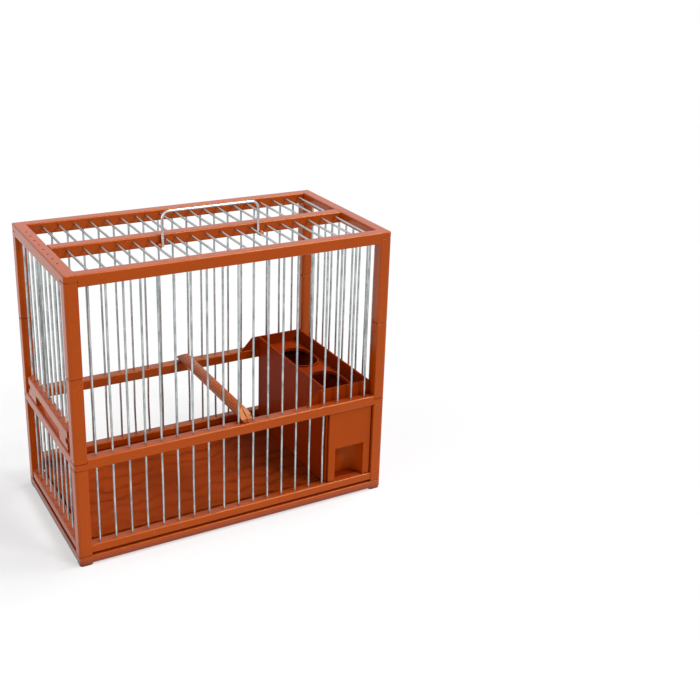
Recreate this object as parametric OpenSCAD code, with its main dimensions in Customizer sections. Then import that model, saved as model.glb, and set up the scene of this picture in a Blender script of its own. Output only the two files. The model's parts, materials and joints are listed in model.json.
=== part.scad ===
// Canary breeding cage: a frame of plastic rails and posts, closed by galvanised wires.
// Millimetres. X runs along the front, Y from the front to the rear, Z up.
// The origin is on the ground, under the middle of the cage.

/* [Cage] */
// Outside width of the cage
cage_w = 308; // [260:1:400]
// Outside depth of the cage, front to rear
cage_d = 166; // [150:1:220]
// Height of one post section, from seam to seam
storey_h = 85; // [75:1:110]

/* [Base] */
// Height of the feet under the base frame
foot_h = 2.3; // [1:0.1:6]
// Length of each foot along both sides of its corner
foot_side = 12; // [8:0.5:20]
// Thickness of the base frame above its feet
base_h = 6.7; // [5:0.1:12]
// How far the bars of the base frame reach inside the posts
base_ledge = 6.5; // [5:0.5:12]
// Width of the runners that carry the litter tray
runner_w = 4.5; // [2:0.5:5]

/* [Posts] */
// Side of the square posts
post_side = 11.5; // [10:0.5:16]
// Radius of a post's outer edge
post_round = 3; // [1:0.5:5]
// Radius of a post's other three edges
post_edge_round = 0.8; // [0.4:0.1:1.5]
// How far each end of a post section steps in, which shows as a seam
seam_depth = 0.4; // [0.2:0.1:0.8]
// Height of that step
seam_h = 0.6; // [0.3:0.1:1.5]
// Height of the corner blocks that tie the rails together
corner_block_h = 6; // [5:0.5:10]
// Diameter of the peg that holds one post section on the next
peg_d = 5; // [3:0.5:6]
// Length of that peg inside the next section
peg_h = 8; // [5:0.5:12]
// Radial clearance of a peg in its socket
peg_fit = 0.05; // [0.02:0.01:0.2]
// Room left over a peg in its socket
peg_end_gap = 0.4; // [0.2:0.1:1]
// Plastic left over the socket of a top corner block
socket_cap = 1.5; // [1:0.1:2.5]
// Plastic left between a peg's socket and the pocket of a rail
pocket_wall = 0.7; // [0.4:0.1:1]

/* [Rails] */
// Radius of the long edges of the rails
rail_round = 1.5; // [0.4:0.1:2]
// Height of the bottom rails
bottom_rail_h = 8; // [6:0.5:12]
// Width of the bottom rails
bottom_rail_w = 10; // [8:0.5:14]
// How far the bottom rails stand back from the face of the posts
bottom_rail_inset = 0.8; // [0.2:0.1:1.5]
// Open groove between the base frame and the bottom rails
base_groove = 2; // [1:0.1:4]
// How much higher the rear bottom rail sits, to let the litter tray out
rear_rail_lift = 13; // [10:0.5:20]
// Height of the middle rails
mid_rail_h = 10; // [8:0.5:14]
// Width of the middle rails
mid_rail_w = 11; // [9:0.5:14]
// Height of the top rails and of the roof bar
top_rail_h = 11; // [9:0.5:16]
// Width of the front and rear top rails
top_long_rail_w = 11.5; // [8:0.5:12]
// Width of the side top rails
top_side_rail_w = 11.5; // [8:0.5:14]
// Width of the bar across the middle of the roof
roof_bar_w = 12; // [8:0.5:16]
// Width of the tenon on the end of a rail
tenon_w = 5; // [3:0.5:6]
// Height of a tenon
tenon_h = 3.5; // [2:0.1:4]
// Clearance of a tenon in its pocket, all round
tenon_fit = 0.1; // [0.05:0.01:0.2]

/* [Wires] */
// Diameter of the galvanised wires
wire_d = 2; // [1.5:0.1:2.5]
// Distance from the outer face of the cage to the middle of the wires
wire_inset = 5; // [4:0.1:6]
// Spacing of the front, rear and roof wires
front_pitch = 14.85; // [12:0.05:18]
// Spacing of the side wires
side_pitch = 13.9; // [12:0.1:18]
// Radial clearance of a wire in its bore
wire_fit = 0.05; // [0.02:0.01:0.1]
// Depth of the blind bores that hold the wire ends
wire_seat = 4.5; // [3:0.5:6]
// Room left at the end of a wire in its blind bore
wire_end_gap = 0.2; // [0.1:0.1:0.5]
// Least space between a post and the nearest wire
wire_edge_gap = 4; // [3:0.5:6]
// How far the roof wires left of the bail are moved to the right
roof_left_shift = 4.9; // [0:0.1:5]
// How far the roof wires right of the bail are moved to the right
roof_right_shift = 2.4; // [0:0.1:3]
// Depth of the roof wires under the top of the cage
roof_wire_drop = 4; // [3:0.1:5]
// Plastic left between an upright bore and the roof wire over it
bore_web = 0.6; // [0.4:0.1:1.5]

/* [Side door] */
// Height of the door's grip bar
door_bar_h = 19.5; // [14:0.5:26]
// Thickness of the grip bar
door_bar_t = 7.5; // [6.5:0.1:9]
// How far the grip bar stands back from the outer face of the cage
door_inset = 0.6; // [0.3:0.1:1.2]
// Radial clearance of the door on its guide wires and of its wires in the top rail
door_fit = 0.08; // [0.03:0.01:0.1]
// Clearance between the grip bar and the rail that it rests on
door_rest_gap = 0.3; // [0.2:0.1:0.6]
// Clearance of the grip bar's grooves round the guide wires
door_groove_fit = 0.4; // [0.3:0.1:0.8]
// How far the tops of the door's wires lie under the roof
door_wire_drop = 1.5; // [0.2:0.1:3]
// Width of the finger slot under the grip bar
door_slot_w = 76; // [50:1:90]
// Height of the finger slot
door_slot_h = 10.2; // [6:0.2:12]
// Radius of the finger slot's upper corners
door_slot_round = 2.5; // [1:0.5:5]
// Height of the notch in each end of the grip bar
door_notch_h = 5; // [3:0.5:8]
// Width of that notch, from the middle of the guide wire
door_notch_w = 5; // [3:0.5:7]
// Depth of that notch from the outer face
door_notch_d = 1.4; // [0.8:0.1:2]

/* [Litter tray] */
// Thickness of the tray's floor
tray_floor_t = 1.5; // [1.2:0.1:2.5]
// Thickness of the tray's lips
tray_lip_t = 1.5; // [1:0.1:2.5]
// Height of the front and left lips over the floor
tray_lip_h = 2.8; // [2:0.1:5]
// Space between the tray's floor and the feeder housing's floor plate
tray_under_gap = 1.1; // [0.5:0.1:2]
// Clearance between the tray and the runners, and under the rear rail
tray_fit = 0.3; // [0.2:0.1:0.6]
// Clearance between the tray and the posts at each side
tray_side_gap = 1; // [0.5:0.1:2]
// Open slit between the front bottom rail and the tray
tray_front_gap = 2.4; // [1.5:0.1:4]
// Space between the end of the tray's front lip and the partition
tray_lip_gap = 1; // [0.5:0.1:3]
// Thickness of the tray's rear wall
tray_rear_t = 2; // [1.5:0.1:3]
// Width of the pull on the tray's rear wall
tray_pull_w = 60; // [30:1:100]
// How far the pull stands out from the rear wall
tray_pull_out = 5; // [3:0.5:8]
// Thickness of the pull
tray_pull_t = 2; // [1.5:0.1:3]
// Distance of the pull from the rear face of the cage
tray_rear_inset = 1; // [0.5:0.1:3]

/* [Feeder housing] */
// Thickness of the partition
partition_t = 2.2; // [1.6:0.1:3]
// Height of the housing's rim over the middle rails
rim_h = 13.5; // [10:0.5:20]
// Thickness of the housing's ears, platform and side rim
ear_t = 1.8; // [1.4:0.1:2.5]
// Distance between the ears and the front and rear wires
ear_wire_gap = 3; // [1.5:0.1:4]
// How far an ear's foot reaches past the partition
ear_reach = 19.5; // [12:0.5:30]
// Length that the ear's slanted end takes off its top
ear_chamfer = 12.5; // [8:0.5:16]
// Clearance between the housing and the frame round it
housing_fit = 0.3; // [0.2:0.1:0.6]
// Thickness of the floor plate under the drawer and of the walls beside and behind it
guide_t = 1.4; // [1.2:0.1:2]
// How far the partition's front strip stands back from the face of the cage
strip_inset = 5; // [4:0.1:8]
// Width of the oval feeding holes, across the cage
hole_w = 29; // [20:1:32]
// Length of the oval feeding holes, front to rear
hole_l = 48; // [36:1:56]
// Distance between the middles of the two holes
hole_spacing = 66; // [60:1:72]
// How far the pair of holes sits to the front of the middle
hole_shift = 5; // [0:0.5:6]
// Width of the raised lip round each hole
hole_lip_w = 1.6; // [1:0.1:2.5]
// Height of that lip
hole_lip_h = 1.6; // [0.6:0.1:3]

/* [Feeder drawer] */
// Width of the drawer's front plate
drawer_w = 46.2; // [36:0.2:60]
// Open slit between the front plate and the right post
drawer_post_gap = 1.5; // [1:0.1:3]
// Play of the drawer beside the partition and the guide wall
drawer_side_play = 0.6; // [0.3:0.1:1]
// Play of the drawer over the floor plate and under the middle rail
drawer_height_play = 0.5; // [0.3:0.1:1]
// How far the front plate stands back from the face of the cage
drawer_front_inset = 2.6; // [1:0.1:4]
// Thickness of the front plate
drawer_front_t = 2.4; // [1.8:0.1:3.5]
// Thickness of the drawer's other walls and of its floor
drawer_wall = 1.8; // [1.4:0.1:2.5]
// Free space between the closed drawer and the rear wall of its housing
drawer_rear_gap = 1.6; // [0.5:0.1:8]
// Width of the finger recess
recess_w = 32; // [24:1:36]
// Height of the finger recess
recess_h = 35; // [24:1:45]
// Radius of the front plate's corners
drawer_round = 1.5; // [0.5:0.1:3]
// How far the front plate stands out past the left side of the drawer
drawer_flange = 0.4; // [0.2:0.1:1]

/* [Perch] */
// Clearance between the perch and the wires on both sides of it
perch_play = 0.93; // [0.6:0.01:1.5]
// Distance of the perch's ends from the faces of the cage
perch_end_inset = 2.5; // [1:0.1:4]
// Number of flutes along the perch
flutes = 16; // [8:1:20]
// Width of a flute
flute_w = 0.9; // [0.5:0.1:1.4]
// Clearance between the perch and the middle rails
perch_rest_gap = 0.3; // [0.2:0.1:0.6]
// Angle of the bevelled ends, from the level
perch_bevel = 30; // [25:1:75]
// Height of the blunt nose under the bevel
perch_nose = 3.9; // [1:0.1:5]
// Width of the slit in the perch's ends
slit_w = 0.8; // [0.5:0.1:2]
// Depth of that slit
slit_l = 10; // [5:0.5:14]

/* [Bail] */
// Diameter of the bail's wire
bail_d = 2.6; // [2:0.1:3.5]
// Top of the bail over the roof
bail_rise = 23; // [14:0.5:40]
// Radius of the bail's corners, at the middle of the wire
bail_round = 7; // [5:0.5:12]
// Number of roof wires between the middle of the cage and each leg
bail_wire_count = 3; // [2:1:4]
// Space between the left leg and the roof wire beside it
bail_wire_gap = 0.7; // [0.4:0.1:1.5]
// Space between the legs and the roof bar
bail_bar_gap = 1.2; // [0.8:0.1:2.5]
// Height of the pivot over the bottom of the roof bar
pivot_rise = 1; // [0.5:0.1:4]
// Radial clearance of the bail's ends in their lugs
pivot_fit = 0.08; // [0.03:0.01:0.1]
// Thickness of the lugs
lug_t = 3; // [2:0.1:5]
// Plastic round the bore of a lug
lug_wall = 1.3; // [1:0.1:1.5]
// Space between a lug and the leg beside it
lug_gap = 0.4; // [0.3:0.1:1]
// How far the bail's ends stand out of their lugs
pivot_out = 0.6; // [0.3:0.1:2]

/* [Hidden] */
$fn = 48;
EPS = 0.01;
// How far a cut runs past the face that it opens.
CUT = 1;

PLASTIC = "#A84C22";
INNER_PLASTIC = "#8C3812";
WIRE = "#B9C0C2";
ZINC = "#C9CDCB";

// Each corner: its name, whether it is on the right, whether it is at the rear.
CORNERS = [
    ["front_left", false, false],
    ["front_right", true, false],
    ["rear_left", false, true],
    ["rear_right", true, true]
];

// Levels, from the ground up.
base_top = foot_h + base_h;
low_rail_z = base_top + base_groove;
low_rail_top = low_rail_z + bottom_rail_h;
rear_rail_z = low_rail_z + rear_rail_lift;
rear_rail_top = rear_rail_z + bottom_rail_h;
mid_z = base_top + storey_h;
mid_top = mid_z + mid_rail_h;
mid_post_z = mid_z + corner_block_h;
join_z = mid_z + storey_h;
top_z = join_z + storey_h;
roof_z = top_z + corner_block_h;
top_rail_z = roof_z - top_rail_h;

// Half sizes of the cage and of the room between the posts.
half_w = cage_w / 2;
half_d = cage_d / 2;
in_w = half_w - post_side;
in_d = half_d - post_side;

// Distance of the middle of each kind of rail from the face of the cage.
low_rail_mid = bottom_rail_inset + bottom_rail_w / 2;
mid_rail_mid = mid_rail_w / 2;
top_long_mid = top_long_rail_w / 2;
top_side_mid = top_side_rail_w / 2;

// Tenons reach as deep as the post's socket allows.
post_mid = post_side / 2;
tenon_len = post_mid - peg_d / 2 - peg_fit - pocket_wall - tenon_fit;
low_tenon_z = low_rail_z + bottom_rail_h / 2;
rear_tenon_z = rear_rail_z + bottom_rail_h / 2;
mid_tenon_z = mid_z + corner_block_h / 2;
top_tenon_z = top_z + corner_block_h / 2;

// Planes and ends of the wires.
wire_r = wire_d / 2;
bore_r = wire_r + wire_fit;
wire_x = half_w - wire_inset;
wire_y = half_d - wire_inset;
roof_wire_z = roof_z - roof_wire_drop;
roof_bore_end = half_d - top_long_rail_w + wire_seat;
upright_top = roof_wire_z - bore_r - bore_web;

// Places of the wires along each side.
front_count = floor((in_w - wire_edge_gap - roof_right_shift) / front_pitch);
front_xs = [for (i = [-front_count:front_count]) i * front_pitch];
side_count = floor((in_d - wire_edge_gap) / side_pitch + 0.5);
side_ys = [for (i = [-side_count:side_count - 1]) (i + 0.5) * side_pitch];
guide_y = (side_count - 0.5) * side_pitch;
door_ys = [for (y = side_ys) if (abs(y) < guide_y - EPS) y];

// The roof wires stand apart where the bail's lugs are.
roof_xs = [for (i = [-front_count:front_count])
    i * front_pitch + (i <= -bail_wire_count ? roof_left_shift : i > bail_wire_count ? roof_right_shift : 0)
];

// The feeder drawer and its housing, from the right post inwards.
drawer_x1 = in_w - drawer_post_gap;
drawer_x0 = drawer_x1 - drawer_w;
drawer_x = (drawer_x0 + drawer_x1) / 2;
partition_x1 = drawer_x0 - drawer_side_play;
partition_x0 = partition_x1 - partition_t;
guide_x1 = in_w - housing_fit;
guide_x0 = guide_x1 - guide_t;
body_x0 = drawer_x0 + drawer_flange;
body_x1 = guide_x0 - drawer_side_play;
long_xs = [for (x = front_xs) if (x + bore_r < partition_x0) x];
short_xs = [for (x = front_xs) if (x + bore_r >= partition_x0) x];

// The housing stands on the middle rails and hangs between the rails below them.
housing_y = half_d - max(mid_rail_w, bottom_rail_inset + bottom_rail_w) - housing_fit;
plate_z = low_rail_top - guide_t;
ear_y = wire_y - wire_r - ear_wire_gap;
rim_x = guide_x1;
rim_top = mid_top + rim_h;
platform_top = mid_top + ear_t;
hole_ys = [-hole_shift - hole_spacing / 2, -hole_shift + hole_spacing / 2];

drawer_z = low_rail_top + drawer_height_play;
drawer_top = mid_z - drawer_height_play;
drawer_y0 = -half_d + drawer_front_inset;
body_y0 = drawer_y0 + drawer_front_t;
body_y1 = housing_y - guide_t - drawer_rear_gap;
recess_top = drawer_z + recess_h;

// The side door.
door_x0 = -half_w + door_inset;
door_z = mid_top + door_rest_gap;
door_top = door_z + door_bar_h;
door_bore_r = wire_r + door_fit;

// The litter tray, under the housing's floor plate and the raised rear rail.
tray_floor_z = plate_z - tray_under_gap;
tray_z = tray_floor_z - tray_floor_t;
tray_lip_top = tray_floor_z + tray_lip_h;
tray_top = rear_rail_z - tray_fit;
tray_x = in_w - tray_side_gap;
tray_y0 = -half_d + bottom_rail_inset + bottom_rail_w + tray_front_gap;
tray_y1 = half_d - tray_rear_inset - tray_pull_out;

// The perch lies between the middle wire and the next one.
perch_d = front_pitch - wire_d - 2 * perch_play;
perch_r = perch_d / 2;
perch_x = front_pitch / 2;
perch_z = mid_top + perch_rest_gap + perch_r;
perch_end = half_d - perch_end_inset;

// The bail stands before the roof bar, its legs between roof wires.
bail_r = bail_d / 2;
bail_x0 = -bail_wire_count * front_pitch + roof_left_shift - wire_r - bail_wire_gap - bail_r;
bail_x1 = (bail_wire_count + 0.5) * front_pitch;
bail_y = -roof_bar_w / 2 - bail_bar_gap - bail_r;
bail_top = roof_z + bail_rise - bail_r;
pivot_z = top_rail_z + pivot_rise;
lug_r = bail_r + pivot_fit + lug_wall;
lug_reach = bail_r + lug_gap + lug_t;

// ---- Shapes that repeat ----

// A rectangle with its corner at the origin and all its corners rounded.
module rounded_rect(w, h, r) {
    translate([r, 0]) square([w - 2 * r, h]);
    translate([0, r]) square([w, h - 2 * r]);
    for (x = [r, w - r], y = [r, h - r])
        translate([x, y]) circle(r);
}

// Two half circles joined by straight sides along Y, centred.
module stadium(w, l) {
    square([w, l - w], center = true);
    for (s = [-1, 1])
        translate([0, s * (l - w) / 2]) circle(w / 2);
}

// A bar along X with rounded long edges.
module bar_x(x0, x1, y0, w, z0, h, r = rail_round) {
    translate([x0, y0, z0])
        rotate([90, 0, 90])
            linear_extrude(x1 - x0) rounded_rect(w, h, r);
}

// A bar along Y with rounded long edges.
module bar_y(y0, y1, x0, w, z0, h, r = rail_round) {
    translate([x0, y1, z0])
        rotate([90, 0, 0])
            linear_extrude(y1 - y0) rounded_rect(w, h, r);
}

// A box between two opposite corners.
module block(low, high) {
    translate(low) cube(high - low);
}

// Round bars, or the bores for them, along Z at the listed points.
module uprights(points, r, z0, z1) {
    for (p = points)
        translate([p[0], p[1], z0]) cylinder(r = r, h = z1 - z0);
}

// Round bars, or the bores for them, along Y at the listed places in X.
module lengthways(xs, r, y0, y1, z) {
    for (x = xs)
        translate([x, y1, z]) rotate([90, 0, 0]) cylinder(r = r, h = y1 - y0);
}

function along_x(xs, y) = [for (x = xs) [x, y]];
function along_y(ys, x) = [for (y = ys) [x, y]];

module mirror_if(on, plane) {
    if (on) mirror(plane) children();
    else children();
}

// Puts a piece made for the front left corner, outer edge on the Z axis, at corner c.
module at_corner(c) {
    mirror_if(c[1], [1, 0, 0])
        mirror_if(c[2], [0, 1, 0])
            translate([-half_w, -half_d, 0]) children();
}

// ---- Posts and corner blocks ----

// A square with one corner rounded, the outer one, which lies near the origin.
module outer_rounded(side) {
    translate([post_round, 0]) square([side - post_round, side]);
    translate([0, post_round]) square([side, side - post_round]);
    translate([post_round, post_round]) circle(post_round);
}

// A post's cross-section, stepped in by inset all round.
module post_profile(inset) {
    side = post_side - 2 * inset;
    translate([inset, inset])
        intersection() {
            rounded_rect(side, side, post_edge_round);
            outer_rounded(side);
        }
}

// The room for the peg that comes up from below.
module peg_socket(z0, h) {
    translate([post_mid, post_mid, z0 - EPS])
        cylinder(r = peg_d / 2 + peg_fit, h = h + EPS);
}

// A section with a seam step at both ends, a peg on top and a socket underneath.
module post_section(z0, h, socket, peg) {
    difference() {
        union() {
            translate([0, 0, z0 + seam_h]) linear_extrude(h - 2 * seam_h) post_profile(0);
            translate([0, 0, z0]) linear_extrude(h) post_profile(seam_depth);
            translate([post_mid, post_mid, z0 + h - EPS]) cylinder(d = peg_d, h = peg + EPS);
        }
        peg_socket(z0, socket);
    }
}

// A corner block, flush with its rails. Its foot steps in like the end of a post.
module corner_block(z0) {
    translate([0, 0, z0 + seam_h]) linear_extrude(corner_block_h - seam_h) outer_rounded(post_side);
    translate([0, 0, z0]) linear_extrude(corner_block_h) post_profile(seam_depth);
}

// The space under the rounded edges of the two rails that meet in a top corner.
module under_rail_edges() {
    long = 2 * post_side;
    deep = 2 * corner_block_h;
    intersection() {
        bar_x(-CUT, long, 0, long, roof_z - deep, deep);
        bar_y(-CUT, long, 0, long, roof_z - deep, deep);
    }
}

// The pocket for the tenon of a rail along X, whose middle lies mid behind the face.
module pocket_x(mid, z) {
    w = tenon_w + 2 * tenon_fit;
    h = tenon_h + 2 * tenon_fit;
    l = tenon_len + tenon_fit;
    translate([post_side - l, mid - w / 2, z - h / 2]) cube([l + CUT, w, h]);
}

// The same for a rail along Y.
module pocket_y(mid, z) {
    mirror([1, -1, 0]) pocket_x(mid, z);
}

module lower_post(c) {
    color(PLASTIC)
        at_corner(c)
            difference() {
                post_section(base_top, storey_h, peg_h + peg_end_gap, corner_block_h + peg_h);
                pocket_x(low_rail_mid, c[2] ? rear_tenon_z : low_tenon_z);
                pocket_y(low_rail_mid, low_tenon_z);
            }
}

module middle_corner(c) {
    color(PLASTIC)
        at_corner(c)
            difference() {
                corner_block(mid_z);
                peg_socket(mid_z, corner_block_h + CUT);
                pocket_x(mid_rail_mid, mid_tenon_z);
                pocket_y(mid_rail_mid, mid_tenon_z);
            }
}

module middle_post(c) {
    color(PLASTIC)
        at_corner(c)
            post_section(mid_post_z, storey_h - corner_block_h, peg_h + peg_end_gap, peg_h);
}

module upper_post(c) {
    color(PLASTIC)
        at_corner(c)
            post_section(join_z, storey_h, peg_h + peg_end_gap,
                         corner_block_h - socket_cap - peg_end_gap);
}

module top_corner(c) {
    color(PLASTIC)
        at_corner(c)
            difference() {
                intersection() {
                    corner_block(top_z);
                    under_rail_edges();
                }
                peg_socket(top_z, corner_block_h - socket_cap);
                pocket_x(top_long_mid, top_tenon_z);
                pocket_y(top_side_mid, top_tenon_z);
            }
}

// ---- Base ----

module base_frame() {
    in_x = in_w - base_ledge;
    in_y = in_d - base_ledge;
    color(PLASTIC) {
        translate([0, 0, foot_h])
            linear_extrude(base_h)
                difference() {
                    translate([-half_w, -half_d]) rounded_rect(cage_w, cage_d, post_round);
                    square([2 * in_x, 2 * in_y], center = true);
                }
        for (c = CORNERS)
            at_corner(c) {
                translate([seam_depth, seam_depth, 0])
                    linear_extrude(foot_h + EPS) rounded_rect(foot_side, foot_side, post_round);
                translate([post_mid, post_mid, base_top - EPS]) cylinder(d = peg_d, h = peg_h + EPS);
            }
        for (x = [-in_x - runner_w, in_x])
            block([x, -in_d, base_top - EPS], [x + runner_w, in_d, tray_z - tray_fit]);
    }
}

// ---- Rails ----

// A rail along X between the posts, made for the front; rear puts it at the rear.
module rail_x(rear, inset, w, z0, h, tenon_z) {
    mirror_if(rear, [0, 1, 0]) {
        bar_x(-in_w, in_w, -half_d + inset, w, z0, h);
        for (s = [-1, 1])
            translate([s * (in_w + (tenon_len - EPS) / 2), -half_d + inset + w / 2, tenon_z])
                cube([tenon_len + EPS, tenon_w, tenon_h], center = true);
    }
}

// A rail along Y between the posts, made for the left; right puts it on the right.
module rail_y(right, inset, w, z0, h, tenon_z) {
    mirror_if(right, [1, 0, 0]) {
        bar_y(-in_d, in_d, -half_w + inset, w, z0, h);
        for (s = [-1, 1])
            translate([-half_w + inset + w / 2, s * (in_d + (tenon_len - EPS) / 2), tenon_z])
                cube([tenon_w, tenon_len + EPS, tenon_h], center = true);
    }
}

module front_bottom_rail() {
    color(PLASTIC)
        difference() {
            rail_x(false, bottom_rail_inset, bottom_rail_w, low_rail_z, bottom_rail_h, low_tenon_z);
            uprights(along_x(long_xs, -wire_y), bore_r, low_rail_top - wire_seat, low_rail_top + CUT);
        }
}

module rear_bottom_rail() {
    color(PLASTIC)
        difference() {
            rail_x(true, bottom_rail_inset, bottom_rail_w, rear_rail_z, bottom_rail_h, rear_tenon_z);
            uprights(along_x(front_xs, wire_y), bore_r, rear_rail_top - wire_seat, rear_rail_top + CUT);
        }
}

module side_bottom_rail(right) {
    x = right ? wire_x : -wire_x;
    color(PLASTIC)
        difference() {
            rail_y(right, bottom_rail_inset, bottom_rail_w, low_rail_z, bottom_rail_h, low_tenon_z);
            uprights(along_y(side_ys, x), bore_r, low_rail_top - wire_seat, low_rail_top + CUT);
        }
}

module front_middle_rail() {
    color(PLASTIC)
        difference() {
            rail_x(false, 0, mid_rail_w, mid_z, mid_rail_h, mid_tenon_z);
            uprights(along_x(long_xs, -wire_y), bore_r, mid_z - CUT, mid_top + CUT);
            uprights(along_x(short_xs, -wire_y), bore_r, mid_top - wire_seat, mid_top + CUT);
        }
}

module rear_middle_rail() {
    color(PLASTIC)
        difference() {
            rail_x(true, 0, mid_rail_w, mid_z, mid_rail_h, mid_tenon_z);
            uprights(along_x(front_xs, wire_y), bore_r, mid_z - CUT, mid_top + CUT);
        }
}

module left_middle_rail() {
    color(PLASTIC)
        difference() {
            rail_y(false, 0, mid_rail_w, mid_z, mid_rail_h, mid_tenon_z);
            uprights(along_y([-guide_y, guide_y], -wire_x), bore_r, mid_z - CUT, mid_top + CUT);
            uprights(along_y(door_ys, -wire_x), bore_r, mid_z - CUT, mid_z + wire_seat);
        }
}

module right_middle_rail() {
    color(PLASTIC)
        difference() {
            rail_y(true, 0, mid_rail_w, mid_z, mid_rail_h, mid_tenon_z);
            uprights(along_y(side_ys, wire_x), bore_r, mid_z - CUT, mid_top + CUT);
        }
}

module long_top_rail(rear) {
    y = rear ? wire_y : -wire_y;
    color(PLASTIC)
        difference() {
            rail_x(rear, 0, top_long_rail_w, top_rail_z, top_rail_h, top_tenon_z);
            uprights(along_x(front_xs, y), bore_r, top_rail_z - CUT, upright_top);
            lengthways(roof_xs, bore_r, -roof_bore_end, roof_bore_end, roof_wire_z);
        }
}

// One tenon of the roof bar, or with grow the pocket for it in the side rail.
module roof_bar_tenon(right, grow) {
    x0 = half_w - top_side_rail_w;
    mirror_if(!right, [1, 0, 0])
        translate([x0 - EPS, -tenon_w / 2 - grow, top_tenon_z - tenon_h / 2 - grow])
            cube([tenon_len + grow + EPS, tenon_w + 2 * grow, tenon_h + 2 * grow]);
}

module left_top_rail() {
    color(PLASTIC)
        difference() {
            rail_y(false, 0, top_side_rail_w, top_rail_z, top_rail_h, top_tenon_z);
            uprights(along_y([-guide_y, guide_y], -wire_x), bore_r, top_rail_z - CUT, upright_top);
            uprights(along_y(door_ys, -wire_x), door_bore_r, top_rail_z - CUT, roof_z + CUT);
            roof_bar_tenon(false, tenon_fit);
        }
}

module right_top_rail() {
    color(PLASTIC)
        difference() {
            rail_y(true, 0, top_side_rail_w, top_rail_z, top_rail_h, top_tenon_z);
            uprights(along_y(side_ys, wire_x), bore_r, top_rail_z - CUT, upright_top);
            roof_bar_tenon(true, tenon_fit);
        }
}

module roof_bar() {
    x = half_w - top_side_rail_w;
    color(PLASTIC)
        difference() {
            union() {
                bar_x(-x, x, -roof_bar_w / 2, roof_bar_w, top_rail_z, top_rail_h);
                roof_bar_tenon(false, 0);
                roof_bar_tenon(true, 0);
            }
            lengthways(roof_xs, bore_r, -roof_bar_w, roof_bar_w, roof_wire_z);
        }
}

// ---- Wires ----

// Fixed wires, each standing in a blind bore at both ends.
module wires(points, z0, z1) {
    color(WIRE)
        uprights(points, wire_r, z0 + wire_end_gap, z1 - wire_end_gap);
}

module front_long_wires() {
    wires(along_x(long_xs, -wire_y), low_rail_top - wire_seat, upright_top);
}

module front_short_wires() {
    wires(along_x(short_xs, -wire_y), mid_top - wire_seat, upright_top);
}

module rear_wires() {
    wires(along_x(front_xs, wire_y), rear_rail_top - wire_seat, upright_top);
}

module right_wires() {
    wires(along_y(side_ys, wire_x), low_rail_top - wire_seat, upright_top);
}

module left_lower_wires() {
    wires(along_y(door_ys, -wire_x), low_rail_top - wire_seat, mid_z + wire_seat);
}

module door_guide_wire(y) {
    wires([[-wire_x, y]], low_rail_top - wire_seat, upright_top);
}

module roof_wires() {
    end = roof_bore_end - wire_end_gap;
    color(WIRE)
        lengthways(roof_xs, wire_r, -end, end, roof_wire_z);
}

// ---- Side door ----

// The grip bar stands on the left middle rail and slides on the two guide wires.
module door_bar() {
    color(PLASTIC)
        difference() {
            bar_y(-guide_y, guide_y, door_x0, door_bar_t, door_z, door_bar_h);
            uprights(along_y([-guide_y, guide_y], -wire_x), wire_r + door_groove_fit,
                     door_z - CUT, door_top + CUT);
            uprights(along_y(door_ys, -wire_x), bore_r, door_top - wire_seat, door_top + CUT);
            bar_x(door_x0 - CUT, door_x0 + door_bar_t + CUT, -door_slot_w / 2, door_slot_w,
                  door_z - door_slot_h, 2 * door_slot_h, door_slot_round);
            for (s = [-1, 1])
                translate([door_x0 + (door_notch_d - CUT) / 2, s * guide_y, door_z + door_bar_h / 2])
                    cube([door_notch_d + CUT, 2 * door_notch_w, door_notch_h], center = true);
        }
}

module door_wires() {
    color(WIRE)
        uprights(along_y(door_ys, -wire_x), wire_r, door_top - wire_seat + wire_end_gap,
                 roof_z - door_wire_drop);
}

// ---- Feeder ----

// One ear plate, made for the front: a wall across the drawer's bay that stands on the middle
// rail, its left end slanting down past the partition.
module housing_ear() {
    foot = partition_x0 - ear_reach;
    translate([0, -ear_y + ear_t, 0])
        rotate([90, 0, 0])
            linear_extrude(ear_t)
                polygon([
                    [foot, mid_top],
                    [rim_x, mid_top],
                    [rim_x, rim_top],
                    [foot + ear_chamfer, rim_top]
                ]);
}

module feeder_housing() {
    color(INNER_PLASTIC)
        difference() {
            union() {
                for (rear = [false, true])
                    mirror_if(rear, [0, 1, 0]) housing_ear();
                // The partition: over the rails, between them, and its strip behind the front wires.
                block([partition_x0, -ear_y, mid_top], [partition_x1, ear_y, rim_top]);
                block([partition_x0, -housing_y, plate_z], [partition_x1, housing_y, mid_top + EPS]);
                block([partition_x0, -half_d + strip_inset, low_rail_top + housing_fit],
                      [partition_x1, -housing_y + EPS, mid_z - housing_fit]);
                // The side rim, the platform, the guide wall, the rear wall and the floor plate.
                block([rim_x - ear_t, -ear_y, mid_top], [rim_x, ear_y, rim_top]);
                block([partition_x0, -ear_y, mid_top], [rim_x, ear_y, platform_top]);
                block([guide_x0, -housing_y, plate_z], [guide_x1, housing_y, mid_top + EPS]);
                block([partition_x0, housing_y - guide_t, plate_z], [guide_x1, housing_y, mid_top + EPS]);
                block([partition_x0, -housing_y, plate_z], [guide_x1, housing_y, low_rail_top]);
                for (y = hole_ys)
                    translate([drawer_x, y, mid_top])
                        linear_extrude(ear_t + hole_lip_h)
                            stadium(hole_w + 2 * hole_lip_w, hole_l + 2 * hole_lip_w);
            }
            for (y = hole_ys)
                translate([drawer_x, y, mid_top - CUT])
                    linear_extrude(ear_t + hole_lip_h + 2 * CUT) stadium(hole_w, hole_l);
        }
}

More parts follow.
